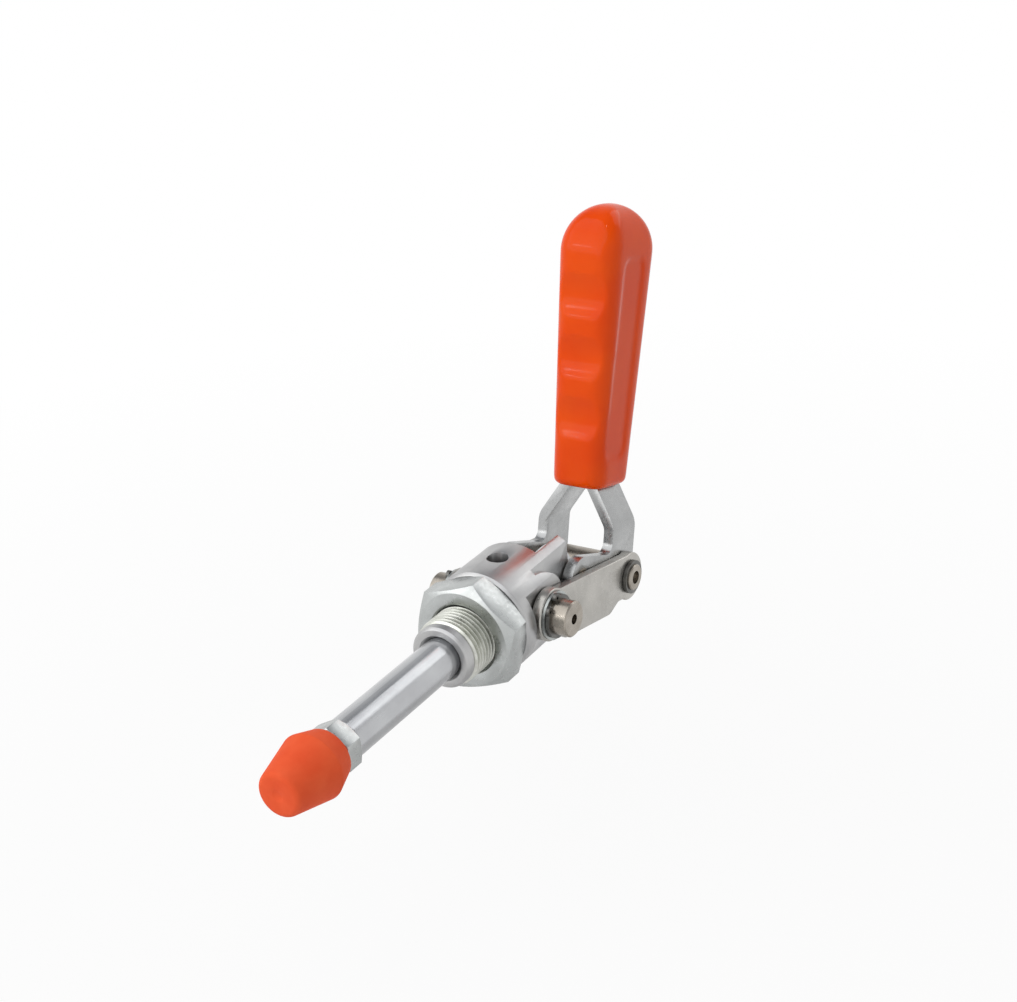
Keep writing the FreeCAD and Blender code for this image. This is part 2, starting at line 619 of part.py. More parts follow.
def make_link(side):
    """Link bar: a stamped strip with two round ends, a deep lower edge and a waist before its rear end."""
    link = new_body("link_bar_" + side)
    rear = "-Sizes.link_length"
    slope_end = "-Sizes.link_waist_start - Sizes.link_waist_slope"
    strip = new_sketch(link, "XZ_Plane", "link_strip_" + side)
    add_outline(strip, [
        ("0", "Sizes.link_upper"),
        ("0", "-Sizes.link_front_radius / 2"),
        ("-Sizes.link_belly_start", "-Sizes.link_lower"),
        ("-Sizes.link_waist_start", "-Sizes.link_lower"),
        (slope_end, "-Sizes.link_waist"),
        (rear, "-Sizes.link_waist"),
        (rear, "Sizes.link_upper"),
    ])
    rounds = [("front_end", "0", "Sizes.link_front_radius"), ("rear_end", rear, "Sizes.link_rear_radius")]
    profiles = [strip]
    for name, x, radius in rounds:
        disc = new_sketch(link, "XZ_Plane", f"link_{name}_{side}")
        add_circle(disc, (x, "0"), radius)
        profiles.append(disc)
    for profile in profiles:
        pad = link.newObject("PartDesign::Pad", profile.Name + "_pad")
        pad.Profile = profile
        pad.setExpression("Length", "Sizes.link_thickness")
        pad.Midplane = True
        doc.recompute()
    bends = {(-size["link_belly_start"], -size["link_lower"]),
             (-size["link_waist_start"], -size["link_lower"]),
             (-size["link_waist_start"] - size["link_waist_slope"], -size["link_waist"])}
    edges = [f"Edge{i}" for i, edge in enumerate(link.Tip.Shape.Edges, start=1)
             if any(abs(edge.CenterOfMass.x - x) < 0.01 and abs(edge.CenterOfMass.z - z) < 0.01
                    for x, z in bends)]
    dress(link, "PartDesign::Fillet", "link_rounds_" + side, edges, "Sizes.link_round")
    holes = new_sketch(link, "XZ_Plane", "link_holes_" + side)
    add_circle(holes, ("0", "0"), "Sizes.stud_diameter / 2 + Sizes.pivot_clearance")
    add_circle(holes, (rear, "0"), "Sizes.rear_pin_diameter / 2 + Sizes.pivot_clearance")
    cut_through(link, holes)
    doc.recompute()
    break_edges(link, "link_edges_" + side)
    link.Placement.Rotation = FreeCAD.Rotation(Y_AXIS, -link_drop)
    sign = "" if SIDES[side] > 0 else "-"
    place(link, "-Sizes.stud_setback", f"{sign}({LINK_INNER} + Sizes.link_thickness / 2)", "0")
    keep(link, "link_" + side)


def break_edges(body, name):
    """Breaks the edges of a flat plate's outline, on both faces and round its holes."""
    faces = [i for i, face in enumerate(body.Tip.Shape.Faces, start=1)
             if isinstance(face.Surface, Part.Plane) and abs(face.normalAt(0, 0).y) > 0.99]
    dress(body, "PartDesign::Chamfer", name, [f"Face{i}" for i in faces], "Sizes.link_edge")


def make_rear_pin():
    """Pin of the rear pivot, pressed into both handle plates, with the links turning on its ends."""
    radius = "Sizes.rear_pin_diameter / 2"
    groove = f"{radius} - Sizes.ring_groove"
    end = f"{REAR_RING_OUT} + Sizes.rear_pin_stand"
    bottom = f"{end} - Sizes.rear_pin_hole_depth"
    half = [
        (radius, REAR_RING_IN),
        (groove, REAR_RING_IN),
        (groove, REAR_RING_OUT),
        (radius, REAR_RING_OUT),
        (radius, f"{end} - Sizes.link_edge"),
        (f"{radius} - Sizes.link_edge", end),
        ("Sizes.rear_pin_hole / 2", end),
        ("Sizes.rear_pin_hole / 2", bottom),
        ("0", bottom),
    ]
    mirrored = [(across, f"-({along})") for across, along in reversed(half)]
    pin = turned_piece("rear_pin", mirrored + half, "V_Axis")
    place(pin, REAR_X, "0", REAR_Z)
    keep(pin, "rear_pivot_pin")


def make_spacer_tube():
    """Tube on the rear pivot pin that keeps the two handle plates apart."""
    inner = "Sizes.rear_pin_diameter / 2"
    outer = "Sizes.spacer_diameter / 2"
    tube = turned_piece("spacer", [
        (inner, f"-{PLATE_INNER}"),
        (outer, f"-{PLATE_INNER}"),
        (outer, PLATE_INNER),
        (inner, PLATE_INNER),
    ], "V_Axis")
    place(tube, REAR_X, "0", REAR_Z)
    keep(tube, "plate_spacer_tube")


def lean_with_handle(obj):
    """Stands a piece drawn about the rear pivot in its place on the leaning handle."""
    obj.Placement.Rotation = FreeCAD.Rotation(Y_AXIS, -size["handle_lean"])
    place(obj, REAR_X, "0", REAR_Z)


TOE_RISE = "(Sizes.crank_angle - Sizes.handle_lean)"
TOE = (f"Sizes.crank_length * cos({TOE_RISE})", f"Sizes.crank_length * sin({TOE_RISE})")


def beside_toe(along, across):
    """A point on the toe's centre line, moved square to it by a signed radius."""
    return (f"{along} * cos({TOE_RISE}) - ({across}) * sin({TOE_RISE})",
            f"{along} * sin({TOE_RISE}) + ({across}) * cos({TOE_RISE})")


def make_plate(side):
    """Handle plate: blanked in side view and bent in front view, the common part of the two views."""
    blank = new_body("plate_blank_" + side)
    leg, tang, toe = "Sizes.leg_width / 2", "Sizes.tang_width / 2", "Sizes.toe_radius"
    collar = "Sizes.grip_bottom + Sizes.plate_thickness"
    arm = new_sketch(blank, "XZ_Plane", "plate_arm_" + side)
    add_outline(arm, [
        beside_toe("0", toe),
        beside_toe("Sizes.crank_length", toe),
        beside_toe("Sizes.crank_length", f"-{toe}"),
        beside_toe("0", f"-{leg}"),
    ])
    upright = new_sketch(blank, "XZ_Plane", "plate_leg_" + side)
    add_outline(upright, [
        (f"-{leg}", "0"),
        (leg, "0"),
        (leg, collar),
        (tang, f"{collar} + {leg} - {tang}"),
        (tang, "Sizes.tang_top"),
        (f"-{tang}", "Sizes.tang_top"),
        (f"-{tang}", f"{collar} + {leg} - {tang}"),
        (f"-{leg}", collar),
    ])
    heel_end = new_sketch(blank, "XZ_Plane", "plate_heel_" + side)
    add_circle(heel_end, ("0", "0"), leg)
    toe_end = new_sketch(blank, "XZ_Plane", "plate_toe_" + side)
    add_circle(toe_end, TOE, toe)
    for profile in (upright, arm, heel_end, toe_end):
        pad = blank.newObject("PartDesign::Pad", profile.Name + "_pad")
        pad.Profile = profile
        pad.setExpression("Length", "Sizes.plate_gap * 2 + Sizes.plate_thickness * 4")
        pad.Midplane = True
        doc.recompute()
    corner_z = (size["toe_radius"] + size["leg_width"] / 2
                * math.sin(math.radians(size["crank_angle"] - size["handle_lean"])))
    corner_z = corner_z / math.cos(math.radians(size["crank_angle"] - size["handle_lean"]))
    corner = [f"Edge{i}" for i, edge in enumerate(blank.Tip.Shape.Edges, start=1)
              if abs(edge.CenterOfMass.x - size["leg_width"] / 2) < 0.01
              and abs(edge.CenterOfMass.y) < 0.01
              and abs(edge.CenterOfMass.z - corner_z) < 0.01]
    dress(blank, "PartDesign::Fillet", "plate_corner_" + side, corner, "Sizes.inner_corner")
    holes = new_sketch(blank, "XZ_Plane", "plate_holes_" + side)
    add_circle(holes, ("0", "0"), "Sizes.rear_pin_diameter / 2")
    add_circle(holes, TOE, "Sizes.cross_pin_diameter / 2")
    add_circle(holes, ("0", "Sizes.rivet_height"), "Sizes.rivet_diameter / 2")
    add_circle(holes, ("0", "Sizes.rivet_height + Sizes.rivet_spacing"), "Sizes.rivet_diameter / 2")
    cut_through(blank, holes)

    strip = new_body("plate_strip_" + side)
    view = new_sketch(strip, "YZ_Plane", "plate_bends_" + side)
    sign = "" if SIDES[side] > 0 else "-"
    rise = "Sizes.plate_gap / 2 / tan(Sizes.splay_angle)"
    lag = "Sizes.plate_thickness * tan(Sizes.splay_angle / 2)"
    low, high = "-Sizes.leg_width * 2", "Sizes.tang_top + Sizes.leg_width"
    add_outline(view, [
        (sign + PLATE_INNER, low),
        (sign + PLATE_INNER, "Sizes.bend_height"),
        ("0", f"Sizes.bend_height + {rise}"),
        ("0", high),
        (f"{sign}Sizes.plate_thickness", high),
        (f"{sign}Sizes.plate_thickness", f"Sizes.bend_height + {rise} + {lag}"),
        (sign + PLATE_OUTER, f"Sizes.bend_height + {lag}"),
        (sign + PLATE_OUTER, low),
    ])
    bent = strip.newObject("PartDesign::Pad", "plate_strip_pad_" + side)
    bent.Profile = view
    bent.setExpression("Length", "Sizes.crank_length * 4")
    bent.Midplane = True
    doc.recompute()
    slope = math.tan(math.radians(size["splay_angle"]))
    half_slope = math.tan(math.radians(size["splay_angle"] / 2))
    upper = size["bend_height"] + size["plate_gap"] / 2 / slope
    behind = size["plate_thickness"] * half_slope
    inner_bends = {(size["plate_gap"] / 2, size["bend_height"]),
                   (size["plate_thickness"], upper + behind)}
    outer_bends = {(size["plate_gap"] / 2 + size["plate_thickness"], size["bend_height"] + behind),
                   (0, upper)}
    for name, spots, radius in (("inside", inner_bends, "Sizes.bend_round"),
                                ("outside", outer_bends, "Sizes.bend_round + Sizes.plate_thickness")):
        edges = [f"Edge{i}" for i, edge in enumerate(strip.Tip.Shape.Edges, start=1)
                 if any(abs(abs(edge.CenterOfMass.y) - y) < 0.01 and abs(edge.CenterOfMass.z - z) < 0.01
                        for y, z in spots)]
        dress(strip, "PartDesign::Fillet", f"plate_bend_{name}_{side}", edges, radius)
    plate = doc.addObject("Part::Common", "plate_" + side)
    plate.Base = blank
    plate.Tool = strip
    lean_with_handle(plate)
    keep(plate, "handle_plate_" + side)

    pin_end = doc.addObject("Part::Cylinder", "pin_end_" + side)
    pin_end.setExpression("Radius", "Sizes.cross_pin_diameter / 2")
    pin_end.setExpression("Height", "Sizes.plate_thickness")
    pin_end.Placement.Rotation = FreeCAD.Rotation(X_AXIS, -90)
    place(pin_end, CROSS_X, PLATE_INNER if SIDES[side] > 0 else f"-{PLATE_OUTER}", "0")
    keep(pin_end, "cross_pin_end_" + side)


def make_rivet(label, height):
    """Rivet that holds the two plates together inside the grip."""
    half = "(Sizes.plate_thickness + Sizes.rivet_head)"
    radius, head = "Sizes.rivet_diameter / 2", "Sizes.rivet_diameter * 0.8"
    shoulder = "Sizes.plate_thickness"
    outline = [
        ("0", f"-{half}"),
        (head, f"-{half}"),
        (head, f"-{shoulder}"),
        (radius, f"-{shoulder}"),
        (radius, shoulder),
        (head, shoulder),
        (head, half),
        ("0", half),
    ]
    rivet = turned_piece(label + "_turned", outline, "V_Axis")
    lean = math.radians(size["handle_lean"])
    rivet.Placement.Rotation = FreeCAD.Rotation(Y_AXIS, -math.degrees(lean))
    place(rivet, f"{REAR_X} - ({height}) * sin(Sizes.handle_lean)", "0",
          f"{REAR_Z} + ({height}) * cos(Sizes.handle_lean)")
    return keep(rivet, label)


def rounded_section(body, name, lift, half_x, half_y):
    """A section with four equal corner rounds, centred on the grip's middle."""
    sketch = new_sketch(body, "XY_Plane", name, lift)
    middle, corner = "Sizes.grip_shift", f"({half_y}) * Sizes.grip_corner_share"
    rounded_box(sketch, f"{middle} - ({half_x})", f"{middle} + ({half_x})",
                f"-({half_y})", f"({half_y})", corner)
    return sketch


def rounded_box(sketch, low_x, high_x, low_y, high_y, corner):
    """A rectangle with equal corner rounds, its four sides at expressions."""
    x0, x1, y0, y1, r = [number_of(e) for e in (low_x, high_x, low_y, high_y, corner)]
    lines = [((x0 + r, y0), (x1 - r, y0)), ((x1, y0 + r), (x1, y1 - r)),
             ((x1 - r, y1), (x0 + r, y1)), ((x0, y1 - r), (x0, y0 + r))]
    centres = [(x1 - r, y0 + r), (x1 - r, y1 - r), (x0 + r, y1 - r), (x0 + r, y0 + r)]
    for i in range(4):
        start, end = [FreeCAD.Vector(*p, 0) for p in lines[i]]
        sketch.addGeometry(Part.LineSegment(start, end))
        turn = math.pi / 2 * (i - 1)
        circle = Part.Circle(FreeCAD.Vector(*centres[i], 0), Z_AXIS, r)
        sketch.addGeometry(Part.ArcOfCircle(circle, turn, turn + math.pi / 2))
    for i in range(4):
        sketch.addConstraint(Sketcher.Constraint("Tangent", 2 * i, 2, 2 * i + 1, 1))
        sketch.addConstraint(Sketcher.Constraint("Tangent", 2 * i + 1, 2, (2 * i + 2) % 8, 1))
        sketch.addConstraint(Sketcher.Constraint("Horizontal" if i % 2 == 0 else "Vertical", 2 * i))
        bind(sketch, "Radius", (2 * i + 1,), corner)
    for kind, geo, expression in (("DistanceY", 0, low_y), ("DistanceX", 2, high_x),
                                  ("DistanceY", 4, high_y), ("DistanceX", 6, low_x)):
        bind(sketch, kind, (-1, 1, geo, 1), expression)


def make_grip(buried):
    """Moulded plastic grip: a tapered handle with a domed top, finger hollows and side panels."""
    grip = new_body("grip_moulding")
    low, full = "Sizes.grip_bottom", "(Sizes.grip_top - Sizes.grip_dome)"
    half_x, half_y = "Sizes.grip_depth_top / 2", "Sizes.grip_width_top / 2"
    base = rounded_section(grip, "grip_low", low,
                           "Sizes.grip_depth_bottom / 2", "Sizes.grip_width_bottom / 2")
    top = rounded_section(grip, "grip_full", full, half_x, half_y)
    shaft = grip.newObject("PartDesign::AdditiveLoft", "grip_shaft")
    shaft.Profile = base
    shaft.Sections = [top]
    shaft.Ruled = True
    doc.recompute()
    rings = []
    for turn in (0, 20, 38, 54, 68, 79, 87):
        level = f"{full} + Sizes.grip_dome * sin({turn})"
        rings.append(rounded_section(grip, f"grip_dome_{turn}", level,
                                     f"{half_x} * cos({turn})", f"{half_y} * cos({turn})"))
    dome = grip.newObject("PartDesign::AdditiveLoft", "grip_dome")
    dome.Profile = rings[0]
    dome.Sections = rings[1:]
    doc.recompute()
    foot_edges = [f"Edge{i}" for i, edge in enumerate(grip.Tip.Shape.Edges, start=1)
                  if abs(edge.BoundBox.ZMax - size["grip_bottom"]) < 0.001]
    dress(grip, "PartDesign::Fillet", "grip_foot_round", foot_edges, "Sizes.grip_foot")

    hollows = new_sketch(grip, "XZ_Plane", "finger_hollows")
    for finger in range(FINGERS):
        height = f"(Sizes.finger_first + {finger} * Sizes.finger_pitch)"
        girth = (f"(Sizes.grip_depth_bottom + (Sizes.grip_depth_top - Sizes.grip_depth_bottom)"
                 f" * ({height} - {low}) / ({full} - {low}))")
        middle = f"Sizes.grip_shift + {girth} / 2 + Sizes.finger_radius - Sizes.finger_depth"
        add_circle(hollows, (middle, height), "Sizes.finger_radius")
    cut_through(grip, hollows)
    doc.recompute()

    # Side panels, each on a plane that leans with the grip's tapered side
    flare = f"((Sizes.grip_width_top - Sizes.grip_width_bottom) / 2 / ({full} - {low}))"
    tilt = math.degrees(math.atan(number_of(flare)))
    middle = "(Sizes.grip_shift + Sizes.panel_lead)"
    for side, sign in SIDES.items():
        panel = new_sketch(grip, "XZ_Plane", "side_panel_" + side)
        depth = f"(Sizes.grip_width_bottom / 2 - Sizes.panel_depth - {low} * {flare})"
        lean = FreeCAD.Rotation(Z_AXIS, size["panel_lean"])
        turned = FreeCAD.Rotation(X_AXIS, -sign * tilt).multiply(lean)
        panel.AttachmentOffset = FreeCAD.Placement(FreeCAD.Vector(), turned)
        panel.setExpression("AttachmentOffset.Base.z", f"-{sign} * {depth}")
        rounded_box(panel, f"{middle} - Sizes.panel_width / 2", f"{middle} + Sizes.panel_width / 2",
                    "Sizes.panel_bottom", "Sizes.panel_top", "Sizes.panel_width * 0.3")
        recess = grip.newObject("PartDesign::Pocket", "side_recess_" + side)
        recess.Profile = panel
        recess.setExpression("Length", "Sizes.grip_width_top")
        recess.Reversed = sign < 0
        doc.recompute()
    lean_with_handle(grip)
    cavity = doc.addObject("Part::MultiFuse", "grip_cavity")
    cavity.Shapes = buried
    moulded = doc.addObject("Part::Cut", "grip_moulded")
    moulded.Base = grip
    moulded.Tool = cavity
    keep(moulded, "grip")
    return grip, moulded


make_body()
hex_nut("mounting_nut", "Sizes.mount_nut_flats", "Sizes.mount_nut_thickness",
        "Sizes.nut_thread_diameter / 2", "0", "mount_nut_turn", "Sizes.mount_nut_mouth")
make_plunger()
hex_nut("tip_lock_nut", "Sizes.lock_nut_flats", "Sizes.lock_nut_thickness",
        "Sizes.tip_thread / 2", "Sizes.rod_front", "lock_nut_turn", "Sizes.lock_nut_mouth")
make_tip()
for side in SIDES:
    make_pivot_stud(side)
    make_washer(side)
    make_ring("front_circlip_" + side, side, "Sizes.stud_diameter / 2 - Sizes.ring_groove",
              "-Sizes.stud_setback", "0", FRONT_RING_IN, FRONT_RING_OUT, "front_ring_turn", True)
    make_link(side)
    make_ring("rear_circlip_" + side, side, "Sizes.rear_pin_diameter / 2 - Sizes.ring_groove",
              REAR_X, REAR_Z, REAR_RING_IN, REAR_RING_OUT, "rear_ring_turn", False)
    make_plate(side)
make_rear_pin()
make_spacer_tube()
rivets = [make_rivet("tang_rivet_lower", "Sizes.rivet_height"),
          make_rivet("tang_rivet_upper", "(Sizes.rivet_height + Sizes.rivet_spacing)")]
plates = [obj for obj in parts if obj.Label.startswith("handle_plate")]
grip_moulding, grip_finished = make_grip(plates + rivets)
to_origin([grip_moulding] + [obj for obj in parts if obj is not grip_finished])
doc.recompute()

faults = [f"{obj.Label}: {obj.State}" for obj in doc.Objects
          if any(word in str(state) for state in obj.State for word in ("Invalid", "Error"))]
for obj in parts:
    if obj.Shape.isNull() or not obj.Shape.isValid() or not obj.Shape.Solids:
        faults.append(f"{obj.Label}: no valid solid")
if faults:
    raise RuntimeError("the model has faults: " + "; ".join(faults))

for obj in parts:
    obj.Shape.exportStep(os.path.join("parts", obj.Label + ".step"))
    box = obj.Shape.BoundBox
    print(f"{obj.Label}: {len(obj.Shape.Solids)} solid(s), {obj.Shape.Volume:.1f} mm3, "
          f"X {box.XMin:.2f} {box.XMax:.2f} Y {box.YMin:.2f} {box.YMax:.2f} Z {box.ZMin:.2f} {box.ZMax:.2f}")
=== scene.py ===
import bpy
import math
from mathutils import Matrix, Vector


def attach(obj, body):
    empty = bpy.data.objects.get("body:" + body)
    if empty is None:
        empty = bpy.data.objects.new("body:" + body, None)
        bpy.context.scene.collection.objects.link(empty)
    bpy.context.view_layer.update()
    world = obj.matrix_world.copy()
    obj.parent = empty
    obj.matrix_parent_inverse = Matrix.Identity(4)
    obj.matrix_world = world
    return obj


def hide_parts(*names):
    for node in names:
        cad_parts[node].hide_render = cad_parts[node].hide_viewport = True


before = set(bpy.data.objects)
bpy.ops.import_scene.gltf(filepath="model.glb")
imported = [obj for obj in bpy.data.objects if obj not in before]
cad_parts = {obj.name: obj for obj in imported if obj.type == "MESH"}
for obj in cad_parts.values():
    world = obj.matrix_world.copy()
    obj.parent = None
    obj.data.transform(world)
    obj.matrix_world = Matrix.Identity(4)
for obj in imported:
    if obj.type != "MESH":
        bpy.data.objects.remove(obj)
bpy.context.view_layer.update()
bpy.ops.object.select_all(action="DESELECT")

# The clamp's body: one round steel bar, turned with a threaded nose, milled at the rear for the
# linkage and zinc plated. Everything else hangs on it, and its nose is what a fixture holds.

CLOUD_DETAIL, MARK_SCALE, MARK_DETAIL, MARK_STRENGTH = 6.0, 900.0, 4.0, 0.6
PATTERN_LOW, PATTERN_HIGH = 0.3, 0.7
SHINIER_BY, DULLER_BY = 0.05, 0.08
MERGE_WITHIN, FLAT_WITHIN = 0.000001, math.radians(0.5)
EDGE_STEPS, BAR_SIDES = 2, 96
THREAD_START, THREAD_END = -0.0016, 0.00865
WASTE_RADIUS, CORE_RADIUS, CORE_REACH = 0.013, 0.0090, 0.025


def made_of(name):
    """A new material, its node tree, its shader and a place that is fixed to the piece."""
    material = bpy.data.materials.new(name)
    material.use_nodes = True
    tree = material.node_tree
    place = tree.nodes.new("ShaderNodeTexCoord").outputs["Object"]
    return material, tree, tree.nodes["Principled BSDF"], place


def pattern_on(tree, place, scale, detail=2.0):
    """A soft uneven pattern over the piece."""
    noise = tree.nodes.new("ShaderNodeTexNoise")
    noise.inputs["Scale"].default_value = scale
    noise.inputs["Detail"].default_value = detail
    tree.links.new(place, noise.inputs["Vector"])
    return noise.outputs["Fac"]


def toned(tree, value, low, high):
    """A colour that goes from low's to high's as a value goes between their positions."""
    ramp = tree.nodes.new("ShaderNodeValToRGB")
    for stop, (position, colour) in zip(ramp.color_ramp.elements, (low, high)):
        stop.position = position
        stop.color = (*colour, 1.0)
    tree.links.new(value, ramp.inputs["Fac"])
    return ramp.outputs["Color"]


def ranged(tree, value, span, result):
    """A number that crosses 'result' while a value crosses 'span'."""
    node = tree.nodes.new("ShaderNodeMapRange")
    for socket, number in zip(("From Min", "From Max", "To Min", "To Max"), (*span, *result)):
        node.inputs[socket].default_value = number
    tree.links.new(value, node.inputs["Value"])
    return node.outputs["Result"]


def emboss(tree, shader, pattern, strength, depth):
    """Gives a surface the fine relief of a pattern."""
    bump = tree.nodes.new("ShaderNodeBump")
    bump.inputs["Strength"].default_value = strength
    bump.inputs["Distance"].default_value = depth
    tree.links.new(pattern, bump.inputs["Height"])
    tree.links.new(bump.outputs["Normal"], shader.inputs["Normal"])


def steel_skin(name, bright, dark, roughness, patch=90.0, along=(1.0, 1.0, 1.0), relief=0.00002):
    """Steel with cloudy tones and fine tool marks, which lie closest where 'along' is largest."""
    material, tree, shader, place = made_of(name)
    shader.inputs["Metallic"].default_value = 1.0
    clouds = pattern_on(tree, place, patch, CLOUD_DETAIL)
    tones = toned(tree, clouds, (PATTERN_LOW, dark), (PATTERN_HIGH, bright))
    tree.links.new(tones, shader.inputs["Base Color"])
    stretch = tree.nodes.new("ShaderNodeMapping")
    stretch.inputs["Scale"].default_value = along
    tree.links.new(place, stretch.inputs["Vector"])
    marks = pattern_on(tree, stretch.outputs["Vector"], MARK_SCALE, MARK_DETAIL)
    sheen = ranged(tree, marks, (PATTERN_LOW, PATTERN_HIGH),
                   (roughness - SHINIER_BY, roughness + DULLER_BY))
    tree.links.new(sheen, shader.inputs["Roughness"])
    emboss(tree, shader, marks, MARK_STRENGTH, relief)
    return material


def finish_with(piece, material):
    """Gives a piece or a node one material in place of what it had."""
    piece.data.materials.clear()
    piece.data.materials.append(material)


def work_on(piece):
    """Makes one piece the only selected and active one."""
    bpy.ops.object.select_all(action="DESELECT")
    piece.select_set(True)
    bpy.context.view_layer.objects.active = piece


def copied_from(node, name):
    """A merged copy of a node's mesh, with its flat faces whole again, to be worked on further."""
    piece = bpy.data.objects.new(name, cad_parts[node].data.copy())
    bpy.context.scene.collection.objects.link(piece)
    work_on(piece)
    bpy.ops.mesh.customdata_custom_splitnormals_clear()
    bpy.ops.object.mode_set(mode="EDIT")
    bpy.ops.mesh.select_all(action="SELECT")
    bpy.ops.mesh.remove_doubles(threshold=MERGE_WITHIN)
    bpy.ops.mesh.dissolve_limited(angle_limit=FLAT_WITHIN)
    bpy.ops.object.mode_set(mode="OBJECT")
    return piece


def break_edges(piece, width, angle=32.0):
    """Small rounds on a piece's sharp edges, as tumbling and plating leave them."""
    work_on(piece)
    rounds = piece.modifiers.new("rounds", "BEVEL")
    rounds.width = width
    rounds.segments = EDGE_STEPS
    rounds.limit_method = "ANGLE"
    rounds.angle_limit = math.radians(angle)
    bpy.ops.object.modifier_apply(modifier=rounds.name)
    bpy.ops.object.shade_smooth_by_angle(angle=math.radians(angle))


def round_bar(radius, start, end):
    """A plain round bar on the clamp's axis, which serves as a tool for one cut."""
    bpy.ops.mesh.primitive_cylinder_add(vertices=BAR_SIDES, radius=radius, depth=end - start,
                                        location=((start + end) / 2, 0, 0),
                                        rotation=(0.0, math.pi / 2, 0.0))
    return bpy.context.object


def cut_with(piece, tool, operation):
    """Works one exact boolean into a piece and takes the tool away."""
    work_on(piece)
    cut = piece.modifiers.new("cut", "BOOLEAN")
    cut.operation = operation
    cut.solver = "EXACT"
    cut.object = tool
    bpy.ops.object.modifier_apply(modifier=cut.name)
    bpy.data.objects.remove(tool)


body_plate = steel_skin("body_plate", bright=(0.52, 0.52, 0.515), dark=(0.40, 0.40, 0.405),
                        roughness=0.34, along=(14.0, 1.0, 1.0))
clamp_body = copied_from("clamp_body", "plated_clamp_body")
collar_waste = round_bar(WASTE_RADIUS, THREAD_START, THREAD_END)
cut_with(collar_waste, round_bar(CORE_RADIUS, -CORE_REACH, CORE_REACH), "DIFFERENCE")
cut_with(clamp_body, collar_waste, "DIFFERENCE")
break_edges(clamp_body, width=0.00018)
finish_with(clamp_body, body_plate)
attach(clamp_body, "frame")
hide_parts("clamp_body")

# The nose's M20 x 1.5 thread, cut into the same bar: one turn's profile, wound up the nose as a
# sleeve round its core and chamfered in front. Its plate is cloudier and greener than the body's.

PITCH, CREST, ROOT, SLEEVE_SHARE, THREAD_CHAMFER = 0.0015, 0.00998, 0.0091, 0.9, 0.0008
ROOT_HALF, FLANK, CREST_FLAT, SPARE_TURNS = 0.2, 0.24, 0.12, 2
SEAM_WITHIN, FACE_WITHIN, THREAD_CREASE = 0.00002, 0.00001, 25.0
ENVELOPE_RADIUS, ENVELOPE_REAR = 0.0101, -0.01
bpy.ops.mesh.primitive_plane_add(size=PITCH)
nose_thread = bpy.context.object
nose_thread.name = "nose_thread"
bpy.ops.object.mode_set(mode="EDIT")
bpy.ops.mesh.select_all(action="SELECT")
bpy.ops.mesh.merge(type="CENTER")
bpy.ops.transform.translate(value=(THREAD_START - PITCH, 0, ROOT))
for forward, outward in ((ROOT_HALF, 0), (FLANK, 1), (CREST_FLAT, 0), (FLANK, -1), (ROOT_HALF, 0)):
    step = (forward * PITCH, 0, outward * (CREST - ROOT))
    bpy.ops.mesh.extrude_region_move(TRANSFORM_OT_translate={"value": step})
bpy.ops.object.mode_set(mode="OBJECT")
winding = nose_thread.modifiers.new("winding", "SCREW")
winding.axis = "X"
winding.angle = math.tau
winding.screw_offset = PITCH
winding.iterations = math.ceil((THREAD_END - THREAD_START) / PITCH) + SPARE_TURNS
winding.steps = winding.render_steps = BAR_SIDES
bpy.ops.object.modifier_apply(modifier=winding.name)
bpy.ops.object.mode_set(mode="EDIT")
bpy.ops.mesh.select_all(action="SELECT")
bpy.ops.mesh.remove_doubles(threshold=SEAM_WITHIN)
for end, ahead in ((THREAD_START, -1), (THREAD_END, 1)):
    bpy.ops.mesh.select_all(action="SELECT")
    bpy.ops.mesh.bisect(plane_co=(end, 0, 0), plane_no=(ahead, 0, 0),
                        clear_outer=True, clear_inner=False)
bpy.ops.mesh.select_all(action="DESELECT")
bpy.ops.mesh.select_non_manifold(extend=False, use_wire=False, use_multi_face=False,
                                 use_non_contiguous=False, use_verts=False)
bpy.ops.mesh.extrude_edges_move(TRANSFORM_OT_translate={"value": (0, 0, 0)})
bpy.ops.transform.resize(value=(1, SLEEVE_SHARE, SLEEVE_SHARE), center_override=(0, 0, 0))
bpy.ops.mesh.bridge_edge_loops()
bpy.ops.mesh.select_all(action="SELECT")
bpy.ops.mesh.normals_make_consistent(inside=False)
bpy.ops.object.mode_set(mode="OBJECT")
thread_envelope = round_bar(ENVELOPE_RADIUS, ENVELOPE_REAR, THREAD_END)
bpy.ops.object.mode_set(mode="EDIT")
bpy.ops.mesh.select_all(action="DESELECT")
bpy.ops.object.mode_set(mode="OBJECT")
for face in thread_envelope.data.polygons:
    face.select = (thread_envelope.matrix_world @ face.center).x > THREAD_END - FACE_WITHIN
bpy.ops.object.mode_set(mode="EDIT")
bpy.ops.mesh.bevel(offset=THREAD_CHAMFER, segments=1)
bpy.ops.object.mode_set(mode="OBJECT")
cut_with(nose_thread, thread_envelope, "INTERSECT")
bpy.ops.object.shade_smooth_by_angle(angle=math.radians(THREAD_CREASE))
thread_plate = steel_skin("thread_plate", bright=(0.74, 0.745, 0.70), dark=(0.50, 0.51, 0.46),
                          roughness=0.32, patch=260.0)
finish_with(nose_thread, thread_plate)
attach(nose_thread, "frame")
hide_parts("clamp_body")

# The hexagon nut on the nose, run back against the body's shoulder: a forged blank, faced on both
# sides and plated a little bluer than the body.

nut_plate = steel_skin("nut_plate", bright=(0.54, 0.56, 0.555), dark=(0.43, 0.445, 0.44),
                       roughness=0.30, patch=150.0)
mounting_nut = copied_from("mounting_nut", "plated_mounting_nut")
break_edges(mounting_nut, width=0.00025, angle=20.0)
finish_with(mounting_nut, nut_plate)
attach(mounting_nut, "frame")
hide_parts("mounting_nut")

